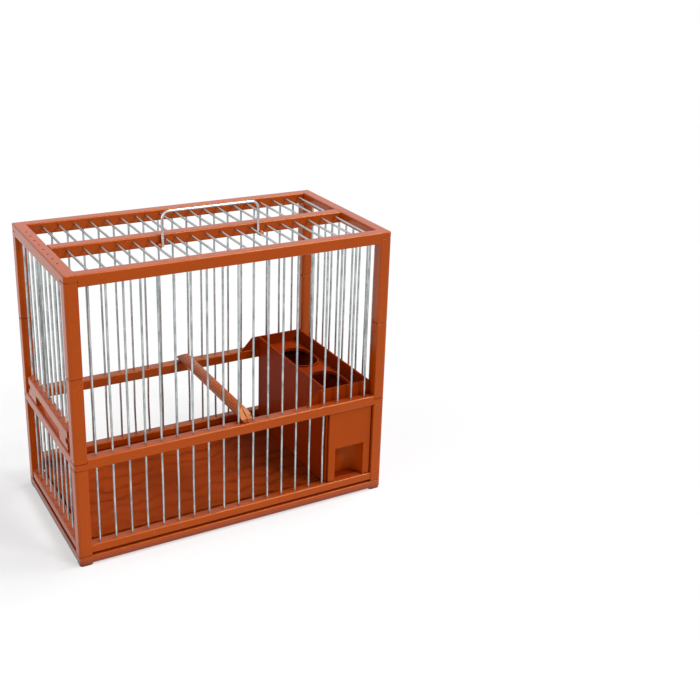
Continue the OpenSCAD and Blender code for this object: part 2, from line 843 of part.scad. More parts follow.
// An open box behind a front plate, with a half-round finger recess cut up from below.
module feeder_drawer() {
    recess_r = recess_w / 2;
    color(PLASTIC)
        difference() {
            union() {
                translate([drawer_x0, body_y0, drawer_z])
                    rotate([90, 0, 0])
                        linear_extrude(drawer_front_t)
                            rounded_rect(drawer_w, drawer_top - drawer_z, drawer_round);
                difference() {
                    block([body_x0, body_y0 - EPS, drawer_z], [body_x1, body_y1, drawer_top]);
                    block([body_x0 + drawer_wall, body_y0, drawer_z + drawer_wall],
                          [body_x1 - drawer_wall, body_y1 - drawer_wall, drawer_top + CUT]);
                }
                intersection() {
                    translate([drawer_x, drawer_y0, drawer_z])
                        cylinder(r = recess_r + drawer_wall, h = recess_h + drawer_wall);
                    block([body_x0, body_y0 - EPS, drawer_z], [body_x1, body_y1, drawer_top]);
                }
            }
            translate([drawer_x, drawer_y0, drawer_z - CUT])
                cylinder(r = recess_r, h = recess_h + CUT);
        }
}

// ---- Litter tray ----

module litter_tray() {
    lip_x1 = partition_x0 - tray_lip_gap;
    pull = tray_pull_w / 2;
    color(INNER_PLASTIC) {
        block([-tray_x, tray_y0, tray_z], [tray_x, tray_y1, tray_floor_z]);
        block([-tray_x, tray_y0, tray_z], [lip_x1, tray_y0 + tray_lip_t, tray_lip_top]);
        block([-tray_x, tray_y0, tray_z], [-tray_x + tray_lip_t, tray_y1, tray_lip_top]);
        block([-tray_x, tray_y1 - tray_rear_t, tray_z], [tray_x, tray_y1, tray_top]);
        block([-pull, tray_y1 - EPS, tray_top - tray_pull_t],
              [pull, tray_y1 + tray_pull_out, tray_top]);
    }
}

// ---- Perch ----

// What the bevel and the slit take off the front end.
module perch_end_cut() {
    nose_z = perch_z - perch_r + perch_nose;
    translate([perch_x, -perch_end, nose_z])
        rotate([perch_bevel, 0, 0])
            translate([-perch_d, -perch_d, 0]) cube([2 * perch_d, 4 * perch_d, perch_d]);
    block([perch_x - slit_w / 2, -perch_end - CUT, perch_z - perch_d],
          [perch_x + slit_w / 2, -perch_end + slit_l, perch_z + perch_d]);
}

module perch() {
    color(PLASTIC)
        difference() {
            translate([perch_x, perch_end, perch_z])
                rotate([90, 0, 0])
                    linear_extrude(2 * perch_end)
                        difference() {
                            circle(perch_r);
                            for (i = [0:flutes - 1])
                                rotate(i * 360 / flutes)
                                    translate([perch_r, 0]) circle(flute_w / 2);
                        }
            for (rear = [false, true])
                mirror_if(rear, [0, 1, 0]) perch_end_cut();
        }
}

// ---- Bail ----

module carrying_bail() {
    color(ZINC) {
        for (x = [bail_x0, bail_x1]) {
            out = x < 0 ? -1 : 1;
            translate([x, bail_y, pivot_z]) cylinder(r = bail_r, h = bail_top - bail_round - pivot_z);
            translate([x, bail_y, pivot_z]) sphere(r = bail_r);
            translate([x, bail_y, pivot_z])
                rotate([0, out * 90, 0]) cylinder(r = bail_r, h = lug_reach + pivot_out);
            translate([x - out * bail_round, bail_y, bail_top - bail_round])
                rotate([90, 0, 0])
                    rotate(out > 0 ? 0 : 90)
                        rotate_extrude(angle = 90) translate([bail_round, 0]) circle(bail_r);
        }
        translate([bail_x0 + bail_round, bail_y, bail_top])
            rotate([0, 90, 0]) cylinder(r = bail_r, h = bail_x1 - bail_x0 - 2 * bail_round);
    }
}

// A lug on the front of the roof bar, with the bore for one end of the bail.
module bail_lug(x, out) {
    x0 = x + out * (bail_r + lug_gap);
    low = min(x0, x0 + out * lug_t);
    face_y = -roof_bar_w / 2;
    color(PLASTIC)
        difference() {
            union() {
                translate([low, bail_y, pivot_z]) rotate([0, 90, 0]) cylinder(r = lug_r, h = lug_t);
                block([low, bail_y, pivot_z - lug_r], [low + lug_t, face_y, pivot_z + lug_r]);
            }
            translate([low - CUT, bail_y, pivot_z])
                rotate([0, 90, 0]) cylinder(r = bail_r + pivot_fit, h = lug_t + 2 * CUT);
            block([low - CUT, face_y, pivot_z - 2 * lug_r], [low + lug_t + CUT, 0, pivot_z + 2 * lug_r]);
        }
}

// ---- The nodes ----

base_frame();
front_bottom_rail();
rear_bottom_rail();
side_bottom_rail(false);  // left_bottom_rail
side_bottom_rail(true);  // right_bottom_rail
for (c = CORNERS) {
    lower_post(c);
    middle_corner(c);
    middle_post(c);
    upper_post(c);
    top_corner(c);
}
front_middle_rail();
rear_middle_rail();
left_middle_rail();
right_middle_rail();
long_top_rail(false);  // front_top_rail
long_top_rail(true);  // rear_top_rail
left_top_rail();
right_top_rail();
roof_bar();
front_long_wires();
front_short_wires();
rear_wires();
right_wires();
left_lower_wires();
door_guide_wire(-guide_y);  // door_guide_wire_front
door_guide_wire(guide_y);  // door_guide_wire_rear
roof_wires();
door_bar();
door_wires();
feeder_housing();
feeder_drawer();
litter_tray();
perch();
carrying_bail();
bail_lug(bail_x0, -1);  // bail_lug_left
bail_lug(bail_x1, 1);  // bail_lug_right
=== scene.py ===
# %% [markdown]
# # A small breeding cage in brown plastic and galvanised wire
# The cage is a kit of moulded posts and rails, closed by steel wires. Its measured solids come
# first and stay fixed. This lesson adds the camera, a plain studio, the finishes of the plastic and
# of the metal, and the shapes that a solid model leaves too perfect, such as the hand-cut wires.

import json
import math

import bmesh
import bpy
import numpy as np
from mathutils import Matrix, Vector


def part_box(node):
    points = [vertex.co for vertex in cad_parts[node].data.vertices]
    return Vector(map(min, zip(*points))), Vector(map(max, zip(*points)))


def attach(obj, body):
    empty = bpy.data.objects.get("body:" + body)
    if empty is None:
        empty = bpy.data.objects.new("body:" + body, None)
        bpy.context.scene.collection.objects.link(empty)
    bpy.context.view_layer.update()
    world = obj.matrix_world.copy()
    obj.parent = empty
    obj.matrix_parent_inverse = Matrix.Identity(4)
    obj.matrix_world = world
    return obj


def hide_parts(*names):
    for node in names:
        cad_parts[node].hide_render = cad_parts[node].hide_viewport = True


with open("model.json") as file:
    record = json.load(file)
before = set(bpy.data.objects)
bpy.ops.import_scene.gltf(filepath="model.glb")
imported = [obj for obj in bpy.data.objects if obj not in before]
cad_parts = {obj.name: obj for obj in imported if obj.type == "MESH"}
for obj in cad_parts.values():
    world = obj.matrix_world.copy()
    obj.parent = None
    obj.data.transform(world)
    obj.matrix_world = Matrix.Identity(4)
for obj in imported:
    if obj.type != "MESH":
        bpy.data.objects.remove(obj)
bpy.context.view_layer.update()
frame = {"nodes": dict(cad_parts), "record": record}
nodes = frame["nodes"]

# %% [markdown]
# ## The camera
# The photograph was taken from the front left, a little over the roof. The two places where the
# long lines of the cage meet give the focal length and the angles, and the corners of the frame
# give the distance. A small roll stays in, because the real camera was not quite level.

# %% Camera
MM = 0.001
IMAGE = 700
FOCAL_PIXELS = 1089.0
AIM = {"azimuth": -30.81, "elevation": 19.90, "roll": 2.07}
EYE = (-374.45, -896.25, 561.68)
CENTRE_ROW = 290.0


def view_axes(azimuth, elevation, roll):
    """The camera's own right, up and back axes. Back points from the object to the camera, right is
    level, up is square to both, and the roll then turns right and up about the line of sight."""
    az, el, ro = np.radians([azimuth, elevation, roll])
    back = np.array([math.sin(az) * math.cos(el), -math.cos(az) * math.cos(el), math.sin(el)])
    right = np.cross(-back, [0, 0, 1])
    right /= np.linalg.norm(right)
    up = np.cross(back, right)
    turned_right = right * math.cos(ro) + up * math.sin(ro)
    turned_up = up * math.cos(ro) - right * math.sin(ro)
    return turned_right, turned_up, back


def add_camera():
    """A camera of 36 mm width whose lens is focal pixels / image pixels x 36 mm."""
    data = bpy.data.cameras.new("camera")
    data.sensor_width = 36
    data.lens = FOCAL_PIXELS / IMAGE * 36
    data.shift_y = (CENTRE_ROW - IMAGE / 2) / IMAGE
    data.clip_start, data.clip_end = 0.05, 50
    camera = bpy.data.objects.new("camera", data)
    bpy.context.scene.collection.objects.link(camera)
    turn = Matrix([list(row) for row in np.stack(view_axes(**AIM), axis=1)]).to_4x4()
    camera.matrix_world = Matrix.Translation(Vector(EYE) * MM) @ turn
    bpy.context.scene.camera = camera
    return camera


camera = add_camera()
print("lens", round(camera.data.lens, 2), "mm, shift", round(camera.data.shift_y, 4))

# %% [markdown]
# ## Building node trees in text
# Every finish below is a tree of shader nodes. Two short helpers keep those trees readable: one
# adds a node and fills its sockets, the other starts a reusable group with named inputs and outputs.


# %% Helpers for node trees
def put(tree, kind, links=None, **values):
    """Adds a node of one kind. Values set its properties, and links fill its sockets by name or
    number, each with a constant or with the output of another node."""
    made = tree.nodes.new(kind)
    for name, value in values.items():
        setattr(made, name, value)
    for name, value in (links or {}).items():
        if isinstance(value, bpy.types.NodeSocket):
            tree.links.new(value, made.inputs[name])
        else:
            made.inputs[name].default_value = value
    return made


def start_group(name, inputs, outputs):
    """A shader node group. Inputs and outputs are lists of (name, kind of socket, default)."""
    tree = bpy.data.node_groups.new(name, "ShaderNodeTree")
    for way, sockets in (("INPUT", inputs), ("OUTPUT", outputs)):
        for label, kind, value in sockets:
            made = tree.interface.new_socket(name=label, in_out=way, socket_type="NodeSocket" + kind)
            if value is not None and kind != "Vector":
                made.default_value = value
    return tree, tree.nodes.new("NodeGroupInput"), tree.nodes.new("NodeGroupOutput")


def use_group(tree, group, links):
    """Places a group in a tree and fills its inputs."""
    made = tree.nodes.new("ShaderNodeGroup")
    made.node_tree = group
    for name, value in links.items():
        if isinstance(value, bpy.types.NodeSocket):
            tree.links.new(value, made.inputs[name])
        else:
            made.inputs[name].default_value = value
    return made


def mix_colour(tree, factor, a, b, blend="MIX"):
    """A colour mix node: its sockets 6 and 7 are the two colours, and output 2 is the result."""
    made = put(tree, "ShaderNodeMix", {0: factor}, data_type="RGBA", blend_type=blend)
    for slot_number, value in ((6, a), (7, b)):
        if isinstance(value, bpy.types.NodeSocket):
            tree.links.new(value, made.inputs[slot_number])
        else:
            made.inputs[slot_number].default_value = value
    return made.outputs[2]


def math_node(tree, operation, a, b=0.0, clamp=False):
    """One step of arithmetic on values."""
    made = put(tree, "ShaderNodeMath", {0: a, 1: b}, operation=operation)
    made.use_clamp = clamp
    return made.outputs[0]


# %% [markdown]
# ## Effects that several finishes share
# Moulded plastic is never one flat colour: the melt leaves slow drifts of tone, the polished mould
# leaves a faint ripple, handling leaves fine scratches, and dust settles on what faces up. Each
# effect is a group of its own, so that a finish only says how strong it is.


# %% Slow drift of tone
def tone_drift_group():
    """Colour x (1 + strength x (noise - 0.5) x 2). The noise has patches of the given size, and a
    second one is stretched along X and Y like the flow of the melt."""
    tree, given, out = start_group(
        "tone drift",
        [("Vector", "Vector", None), ("Colour", "Color", (1, 1, 1, 1)),
         ("Patches per Metre", "Float", 30.0), ("Strength", "Float", 0.08)],
        [("Colour", "Color", None), ("Value", "Float", None)])
    wide = put(tree, "ShaderNodeTexNoise",
               {"Vector": given.outputs["Vector"], "Scale": given.outputs["Patches per Metre"],
                "Detail": 3.0, "Roughness": 0.55})
    squeezed = put(tree, "ShaderNodeMapping", {"Vector": given.outputs["Vector"],
                                               "Scale": (0.15, 0.15, 1.0)})
    flow = put(tree, "ShaderNodeTexNoise", {"Vector": squeezed.outputs[0], "Scale": 240.0,
                                            "Detail": 2.0, "Roughness": 0.5})
    both = math_node(tree, "ADD", math_node(tree, "MULTIPLY", wide.outputs["Fac"], 0.65),
                     math_node(tree, "MULTIPLY", flow.outputs["Fac"], 0.35))
    centred = math_node(tree, "MULTIPLY", math_node(tree, "SUBTRACT", both, 0.5), 2.0)
    gain = math_node(tree, "ADD", math_node(tree, "MULTIPLY", centred, given.outputs["Strength"]), 1.0)
    grey = put(tree, "ShaderNodeCombineColor", {0: gain, 1: gain, 2: gain})
    tinted = mix_colour(tree, 1.0, given.outputs["Colour"], grey.outputs[0], "MULTIPLY")
    tree.links.new(tinted, out.inputs["Colour"])
    tree.links.new(both, out.inputs["Value"])
    return tree


TONE_DRIFT = tone_drift_group()


# %% Ripple and grain of the mould
def moulded_height_group():
    """Height in metres = ripple depth x slow noise + grain depth x fine noise."""
    tree, given, out = start_group(
        "moulded height",
        [("Vector", "Vector", None), ("Ripple Depth", "Float", 0.00006),
         ("Ripples per Metre", "Float", 55.0), ("Grain Depth", "Float", 0.000006),
         ("Grains per Metre", "Float", 1800.0)],
        [("Height", "Float", None)])
    ripple = put(tree, "ShaderNodeTexNoise",
                 {"Vector": given.outputs["Vector"], "Scale": given.outputs["Ripples per Metre"],
                  "Detail": 1.0, "Roughness": 0.4})
    grain = put(tree, "ShaderNodeTexNoise",
                {"Vector": given.outputs["Vector"], "Scale": given.outputs["Grains per Metre"],
                 "Detail": 2.0, "Roughness": 0.6})
    slow = math_node(tree, "MULTIPLY", ripple.outputs["Fac"], given.outputs["Ripple Depth"])
    fine = math_node(tree, "MULTIPLY", grain.outputs["Fac"], given.outputs["Grain Depth"])
    tree.links.new(math_node(tree, "ADD", slow, fine), out.inputs["Height"])
    return tree


MOULDED_HEIGHT = moulded_height_group()


# %% Fine scratches from handling
def scratch_group():
    """Mask = 1 on thin lines. A noise stretched along one direction has long narrow cells, and the
    places where it crosses its middle value are lines. A second noise keeps them to a few patches."""
    tree, given, out = start_group(
        "handling scratches",
        [("Vector", "Vector", None), ("Lines per Metre", "Float", 420.0),
         ("Width", "Float", 0.010), ("Cover", "Float", 0.40)],
        [("Mask", "Float", None)])
    turned = put(tree, "ShaderNodeMapping", {"Vector": given.outputs["Vector"],
                                             "Rotation": (0.35, 0.2, 0.6), "Scale": (0.06, 1.0, 0.5)})
    cells = put(tree, "ShaderNodeTexNoise",
                {"Vector": turned.outputs[0], "Scale": given.outputs["Lines per Metre"],
                 "Detail": 1.0, "Roughness": 0.4})
    off = math_node(tree, "ABSOLUTE", math_node(tree, "SUBTRACT", cells.outputs["Fac"], 0.5))
    line = put(tree, "ShaderNodeMapRange", {"Value": off, 1: 0.0, 2: given.outputs["Width"],
                                            3: 1.0, 4: 0.0})
    where = put(tree, "ShaderNodeTexNoise", {"Vector": given.outputs["Vector"], "Scale": 38.0,
                                             "Detail": 2.0})
    patch = put(tree, "ShaderNodeMapRange", {"Value": where.outputs["Fac"],
                                             1: math_node(tree, "SUBTRACT", 1.0, given.outputs["Cover"]),
                                             2: 0.75, 3: 0.0, 4: 1.0})
    tree.links.new(math_node(tree, "MULTIPLY", line.outputs[0], patch.outputs[0]), out.inputs["Mask"])
    return tree


SCRATCHES = scratch_group()


# %% Small nicks
def nick_group():
    """Mask = 1 inside small dots. Space is cut into cells with a random point in each, and a dot
    shows where the surface passes close to the point of its cell."""
    tree, given, out = start_group(
        "small nicks",
        [("Vector", "Vector", None), ("Cells per Metre", "Float", 110.0), ("Size", "Float", 0.05)],
        [("Mask", "Float", None)])
    cells = put(tree, "ShaderNodeTexVoronoi", {"Vector": given.outputs["Vector"],
                                               "Scale": given.outputs["Cells per Metre"]})
    dot = put(tree, "ShaderNodeMapRange", {"Value": cells.outputs["Distance"],
                                           1: math_node(tree, "MULTIPLY", given.outputs["Size"], 0.6),
                                           2: given.outputs["Size"], 3: 1.0, 4: 0.0})
    tree.links.new(dot.outputs[0], out.inputs["Mask"])
    return tree


NICKS = nick_group()


# %% Dust on what faces up
def dust_group():
    """Mask = how far the surface faces up, from 0 on a wall to 1 on a floor, broken up by noise."""
    tree, given, out = start_group(
        "settled dust",
        [("Vector", "Vector", None), ("Normal", "Vector", None), ("Amount", "Float", 0.1)],
        [("Mask", "Float", None)])
    parts = put(tree, "ShaderNodeSeparateXYZ", {0: given.outputs["Normal"]})
    upward = put(tree, "ShaderNodeMapRange", {"Value": parts.outputs[2], 1: 0.35, 2: 0.95, 3: 0.0, 4: 1.0})
    cloud = put(tree, "ShaderNodeTexNoise", {"Vector": given.outputs["Vector"], "Scale": 95.0,
                                             "Detail": 5.0, "Roughness": 0.65})
    broken = put(tree, "ShaderNodeMapRange", {"Value": cloud.outputs["Fac"], 1: 0.3, 2: 0.75,
                                              3: 0.25, 4: 1.0})
    mask = math_node(tree, "MULTIPLY", upward.outputs[0], broken.outputs[0])
    tree.links.new(math_node(tree, "MULTIPLY", mask, given.outputs["Amount"]), out.inputs["Mask"])
    return tree


DUST = dust_group()

# %% [markdown]
# ## The brown plastic
# All plastic parts come from the same warm brown granulate. Their tops look pinkish in the photograph
# only because a glossy surface seen at a low angle mirrors the white room, so the shader is left to
# do that by itself. The colour and the gloss differ a little from one family of parts to the next:
# the frame is polished, and the feeder and the tray come from duller moulds. The feeder's and the
# tray's darker brown is painted shade, for the shade that falls on them inside the cage, and the
# tray's floor also carries painted shadow of the wires.

# %% Brown plastic
DUST_COLOUR = (0.62, 0.50, 0.42, 1.0)
WARM_GLOSS = (1.0, 0.62, 0.28, 1.0)
DRIFT_STRENGTH = 0.13
RIPPLE_DEPTH, GRAIN_DEPTH = 0.00006, 0.000005
SCRATCH_PALE, NICK_PALE = 0.04, 0.35
DRIFT_ROUGH, SCRATCH_ROUGH, DUST_ROUGH = 0.12, 0.18, 1.2
# The depth is a real bump of the tray's floor; the shade strength and the deep brown paint shadow of the
# wires into its colour along the wavy lines.
GROOVE_DEPTH, WIRE_SHADOW_SHADE = 0.00018, 0.50
WIRE_SHADOW_BROWN = (0.10, 0.012, 0.0005, 1)


def brown_plastic(name, colour, roughness=0.23, ior=1.47, dust=0.03, floor_grooves_and_wire_shadows=False):
    """A moulded plastic finish. Base colour = drifted colour with a film of dust, small nicks and
    scratches, and on the tray's floor painted shadow of the wires along its wavy lines. Roughness = a
    constant plus the drift, the scratches and the dust, and the bump = the mould's ripple and grain,
    with shallow wavy grooves on the tray's floor. The gloss is a little warm where it is seen straight
    on, because the pigment reaches up to the surface."""
    material = bpy.data.materials.new(name)
    material.use_nodes = True
    tree = material.node_tree
    shader = tree.nodes["Principled BSDF"]
    shader.inputs["IOR"].default_value = ior
    shader.inputs["Specular Tint"].default_value = WARM_GLOSS
    place = put(tree, "ShaderNodeTexCoord")
    where = place.outputs["Object"]
    toned = use_group(tree, TONE_DRIFT, {"Vector": where, "Colour": (*colour, 1),
                                         "Strength": DRIFT_STRENGTH})
    lines = use_group(tree, SCRATCHES, {"Vector": where})
    nicks = use_group(tree, NICKS, {"Vector": where}).outputs["Mask"]
    film = use_group(tree, DUST, {"Vector": where, "Normal": place.outputs["Normal"], "Amount": dust})
    marks = math_node(tree, "ADD", math_node(tree, "MULTIPLY", lines.outputs["Mask"], SCRATCH_PALE),
                      math_node(tree, "MULTIPLY", nicks, NICK_PALE))
    pale = math_node(tree, "ADD", film.outputs["Mask"], marks, clamp=True)
    tinted = mix_colour(tree, pale, toned.outputs["Colour"], DUST_COLOUR)
    height = use_group(tree, MOULDED_HEIGHT, {"Vector": where, "Ripple Depth": RIPPLE_DEPTH,
                                              "Grain Depth": GRAIN_DEPTH}).outputs["Height"]
    # On the tray's floor the wavy lines lower the bump and paint shadow of the wires into the colour.
    if floor_grooves_and_wire_shadows:
        tinted, height = wavy_grooves_and_wire_shadows(tree, where, tinted, height)
    tree.links.new(tinted, shader.inputs["Base Color"])
    rough = math_node(tree, "ADD", math_node(tree, "MULTIPLY", toned.outputs["Value"], DRIFT_ROUGH),
                      math_node(tree, "MULTIPLY", lines.outputs["Mask"], SCRATCH_ROUGH))
    rough = math_node(tree, "ADD", rough, math_node(tree, "MULTIPLY", film.outputs["Mask"], DUST_ROUGH))
    tree.links.new(math_node(tree, "ADD", rough, roughness - DRIFT_ROUGH / 2), shader.inputs["Roughness"])
    bump = put(tree, "ShaderNodeBump", {"Height": height, "Strength": 1.0, "Distance": 1.0})
    tree.links.new(bump.outputs[0], shader.inputs["Normal"])
    return material


def wavy_grooves_and_wire_shadows(tree, where, tinted, height):
    """The tray's floor has wavy lines that are shallow grooves in the bump and painted shadow of the wires
    in the colour. They are a sine across Y whose phase is shifted by noise, and a slower noise makes
    them deep and dark in some places and faint in others."""
    waves = put(tree, "ShaderNodeTexWave", {"Vector": where, "Scale": 17.0, "Distortion": 7.0,
                                            "Detail": 2.0, "Detail Scale": 1.6, "Detail Roughness": 0.6},
                wave_type="BANDS", bands_direction="Y", wave_profile="SIN")
    clouds = put(tree, "ShaderNodeTexNoise", {"Vector": where, "Scale": 26.0, "Detail": 3.0})
    depth = put(tree, "ShaderNodeMapRange", {"Value": clouds.outputs["Fac"], 1: 0.35, 2: 0.65,
                                             3: 0.2, 4: 1.0})
    narrow = math_node(tree, "POWER", waves.outputs["Fac"], 3.0)
    groove_and_wire_shadow = math_node(tree, "MULTIPLY", narrow, depth.outputs[0])
    # Painted shadow of the wires: the colour is pulled towards a deep brown along the wavy lines.
    darker = mix_colour(tree, math_node(tree, "MULTIPLY", groove_and_wire_shadow, WIRE_SHADOW_SHADE), tinted, WIRE_SHADOW_BROWN)
    lowered = math_node(tree, "SUBTRACT", height, math_node(tree, "MULTIPLY", groove_and_wire_shadow, GROOVE_DEPTH))
    return darker, lowered


FRAME_BROWN = (0.375, 0.048, 0.0008)
finishes = {
    "frame_plastic": brown_plastic("frame plastic", FRAME_BROWN),
    # The feeder's brown is darker than the frame's as painted shade, for the shade that falls on it inside
    # the cage.
    "feeder_plastic": brown_plastic("feeder plastic", (0.262, 0.025, 0.0004), roughness=0.42, ior=1.10,
                                    dust=0.01),
    "drawer_plastic": brown_plastic("drawer plastic", (0.350, 0.046, 0.0008), roughness=0.34, ior=1.30,
                                    dust=0.01),
    "door_plastic": brown_plastic("door plastic", FRAME_BROWN),
    # The tray's brown is darker than the frame's as painted shade, for the shade that falls on it inside
    # the cage, and its floor carries painted shadow of the wires.
    "tray_plastic": brown_plastic("tray plastic", (0.310, 0.040, 0.001), roughness=0.45, ior=1.09,
                                  dust=0.02, floor_grooves_and_wire_shadows=True),
    "perch_plastic": brown_plastic("perch plastic", (0.400, 0.066, 0.006), roughness=0.24, ior=1.60),
}
print("plastic finishes:", len(finishes))

# %% [markdown]
# ## Galvanised wire
# Zinc on steel wire is a soft grey metal. The bath leaves slow patches that are duller and rougher,
# and a coat whose thickness swells and shrinks a little. One group makes that, and three finishes use
# it: the roof's wires get a brighter pair of greys than the upright ones as painted light, because
# they face up to the lamps, and the bail lies between the two.


# %% Metal finishes
def drawn_metal_group():
    """Colour, roughness and height of drawn, zinc-coated wire. Bright and dull patches come from
    slow noise, and the thickness of the zinc swells and shrinks by a few thousandths of a
    millimetre."""
    tree, given, out = start_group(
        "drawn zinc",
        [("Vector", "Vector", None), ("Bright", "Color", (0.8, 0.82, 0.82, 1)),
         ("Dull", "Color", (0.5, 0.53, 0.54, 1)), ("Roughness", "Float", 0.3)],
        [("Colour", "Color", None), ("Roughness", "Float", None), ("Height", "Float", None)])
    patch = put(tree, "ShaderNodeTexNoise", {"Vector": given.outputs["Vector"], "Scale": 85.0,
                                             "Detail": 3.0, "Roughness": 0.6})
    swell = put(tree, "ShaderNodeTexNoise", {"Vector": given.outputs["Vector"], "Scale": 160.0})
    fac = put(tree, "ShaderNodeMapRange", {"Value": patch.outputs["Fac"], 1: 0.32, 2: 0.68, 3: 0.0, 4: 1.0})
    tree.links.new(mix_colour(tree, fac.outputs[0], given.outputs["Bright"], given.outputs["Dull"]),
                   out.inputs["Colour"])
    spread = math_node(tree, "MULTIPLY", fac.outputs[0], 0.14)
    tree.links.new(math_node(tree, "ADD", given.outputs["Roughness"], spread), out.inputs["Roughness"])
    tree.links.new(math_node(tree, "MULTIPLY", swell.outputs["Fac"], 0.000004),
                   out.inputs["Height"])
    return tree


DRAWN_METAL = drawn_metal_group()


NO_EDGE_GLEAM = (0.0, 0.0, 0.0, 1)


def wire_metal(name, bright, dull, roughness, metallic=1.0):
    """A zinc finish whose colour, roughness and bump come from the drawn zinc group. Zinc that has
    gone dull mirrors little at a low angle, and an old handled coat is only partly metallic."""
    material = bpy.data.materials.new(name)
    material.use_nodes = True
    tree = material.node_tree
    shader = tree.nodes["Principled BSDF"]
    place = put(tree, "ShaderNodeTexCoord")
    zinc = use_group(tree, DRAWN_METAL, {"Vector": place.outputs["Object"], "Bright": (*bright, 1),
                                         "Dull": (*dull, 1), "Roughness": roughness})
    tree.links.new(zinc.outputs["Colour"], shader.inputs["Base Color"])
    tree.links.new(zinc.outputs["Roughness"], shader.inputs["Roughness"])
    bump = put(tree, "ShaderNodeBump", {"Height": zinc.outputs["Height"], "Strength": 1.0, "Distance": 1.0})
    tree.links.new(bump.outputs[0], shader.inputs["Normal"])
    shader.inputs["Metallic"].default_value = metallic
    shader.inputs["Specular Tint"].default_value = NO_EDGE_GLEAM
    return material


finishes["galvanised_wire"] = wire_metal("galvanised wire", (0.58, 0.62, 0.62), (0.29, 0.32, 0.32),
                                         roughness=0.18, metallic=0.8)
finishes["zinc_wire"] = wire_metal("zinc wire", (0.62, 0.64, 0.65), (0.44, 0.46, 0.465), roughness=0.22)
# The roof's wires get brighter greys as painted light, because they face up to the lamps.
roof_zinc_painted_light = wire_metal("roof wire", (0.78, 0.80, 0.81), (0.56, 0.585, 0.59), roughness=0.22)
print("finishes with the metals:", len(finishes) + 1)


# %% [markdown]
# ## Dressing the solids
# The names of the solids say what they are made of, so a short table gives each its finish.

# %% Finish of each solid
SPECIAL = {"feeder_housing": "feeder_plastic", "feeder_drawer": "drawer_plastic",
           "litter_tray": "tray_plastic", "perch": "perch_plastic", "door_bar": "door_plastic",
           "carrying_bail": "zinc_wire"}


def slot_of(name):
    """The slot of a solid: the table first, then wire by its name, and the frame's plastic else."""
    if name in SPECIAL:
        return SPECIAL[name]
    return "galvanised_wire" if "wire" in name else "frame_plastic"


for name, solid in nodes.items():
    solid.data.materials.clear()
    solid.data.materials.append(finishes[slot_of(name)])
print({slot: sum(slot_of(n) == slot for n in nodes) for slot in finishes})

# %% [markdown]
# ## Surfaces from arrays
# The shapes that follow are grids of points: one parameter runs along a piece and the other round
# it. The points are worked out as whole arrays, and the faces are the cells of the grid.


# %% Helpers for surfaces
def grid_faces(rows, columns, first=0):
    """The four-sided cells of a grid that is closed round its columns, as rows of point numbers."""
    i, j = np.meshgrid(np.arange(rows - 1), np.arange(columns), indexing="ij")
    k = (j + 1) % columns
    cells = np.stack([i * columns + j, i * columns + k, (i + 1) * columns + k, (i + 1) * columns + j], -1)
    return cells.reshape(-1, 4) + first


def cap_faces(ring_start, columns, centre, turned):
    """Triangles from a ring of points to one point at its centre."""
    j = np.arange(columns)
    a, b = ring_start + j, ring_start + (j + 1) % columns
    fan = np.stack([b, a, np.full(columns, centre)] if turned else [a, b, np.full(columns, centre)], -1)
    return fan


def add_piece(name, points, faces, body, slot, sharp=40.0):
    """Makes a mesh object from an array of points and lists of faces, shades it smooth up to an
    angle, gives it the finish of a slot and lets it ride on a body."""
    mesh = bpy.data.meshes.new(name)
    mesh.from_pydata(points.reshape(-1, 3).tolist(), [], [f for part in faces for f in part.tolist()])
    mesh.polygons.foreach_set("use_smooth", np.ones(len(mesh.polygons), bool))
    mesh.set_sharp_from_angle(angle=math.radians(sharp))
    mesh.materials.append(finishes[slot])
    mesh.update()
    piece = bpy.data.objects.new(name, mesh)
    bpy.context.scene.collection.objects.link(piece)
    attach(piece, body)
    return piece


# %% [markdown]
# ## Soft edges
# A mould never gives a perfectly sharp edge, and it is the soft edge that catches the light as a
# thin bright line. The solids are exact and faceted, so the plastic pieces are shown by a copy: its
# loose triangles are welded and the flat ones joined. Pieces whose edges are sharp get a Bevel. Its
# edges are picked by weight, because the feet stand closer to the rim of the base than the rounding
# is wide, and two roundings that cross would fold the underside. A Weighted Normal then keeps the
# flats flat and lets the small facets of a rounding blend.

# %% Copies with rounded edges
body_of = {name: body for body, names in frame["record"]["behaviour"]["bodies"].items() for name in names}
WELD = 0.002 * MM
SHARP_ANGLE = math.radians(35)
UNDERSIDE = 3 * MM


def weigh_edges(edit):
    """Weight 1 for each edge that is sharper than the angle and lies above the underside, else 0."""
    weight = edit.edges.layers.float.new("bevel_weight_edge")
    for edge in edit.edges:
        high = min(corner.co.z for corner in edge.verts) > UNDERSIDE
        edge[weight] = float(high and edge.calc_face_angle(0.0) > SHARP_ANGLE)


def soften(node, width):
    """A welded copy of a solid that shows in its place. Its weighed edges are rounded to a width, or
    kept as they are where the width is 0, and gentler ones are shaded smooth."""
    mesh = nodes[node].data.copy()
    edit = bmesh.new()
    edit.from_mesh(mesh)
    bmesh.ops.remove_doubles(edit, verts=edit.verts, dist=WELD)
    bmesh.ops.dissolve_limit(edit, angle_limit=math.radians(0.3), verts=edit.verts, edges=edit.edges)
    weigh_edges(edit)
    edit.to_mesh(mesh)
    edit.free()
    mesh.polygons.foreach_set("use_smooth", np.ones(len(mesh.polygons), bool))
    mesh.set_sharp_from_angle(angle=SHARP_ANGLE)
    skin = bpy.data.objects.new(node + "_skin", mesh)
    bpy.context.scene.collection.objects.link(skin)
    if width > 0:
        bevel = skin.modifiers.new("soft edges", "BEVEL")
        bevel.width = width
        bevel.segments = 3
        bevel.limit_method = "WEIGHT"
        bevel.use_clamp_overlap = node != "base_frame" and "post" not in node
    even = skin.modifiers.new("even flats", "WEIGHTED_NORMAL")
    even.keep_sharp = width == 0
    even.weight = 100
    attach(skin, body_of[node])
    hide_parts(node)
    return skin


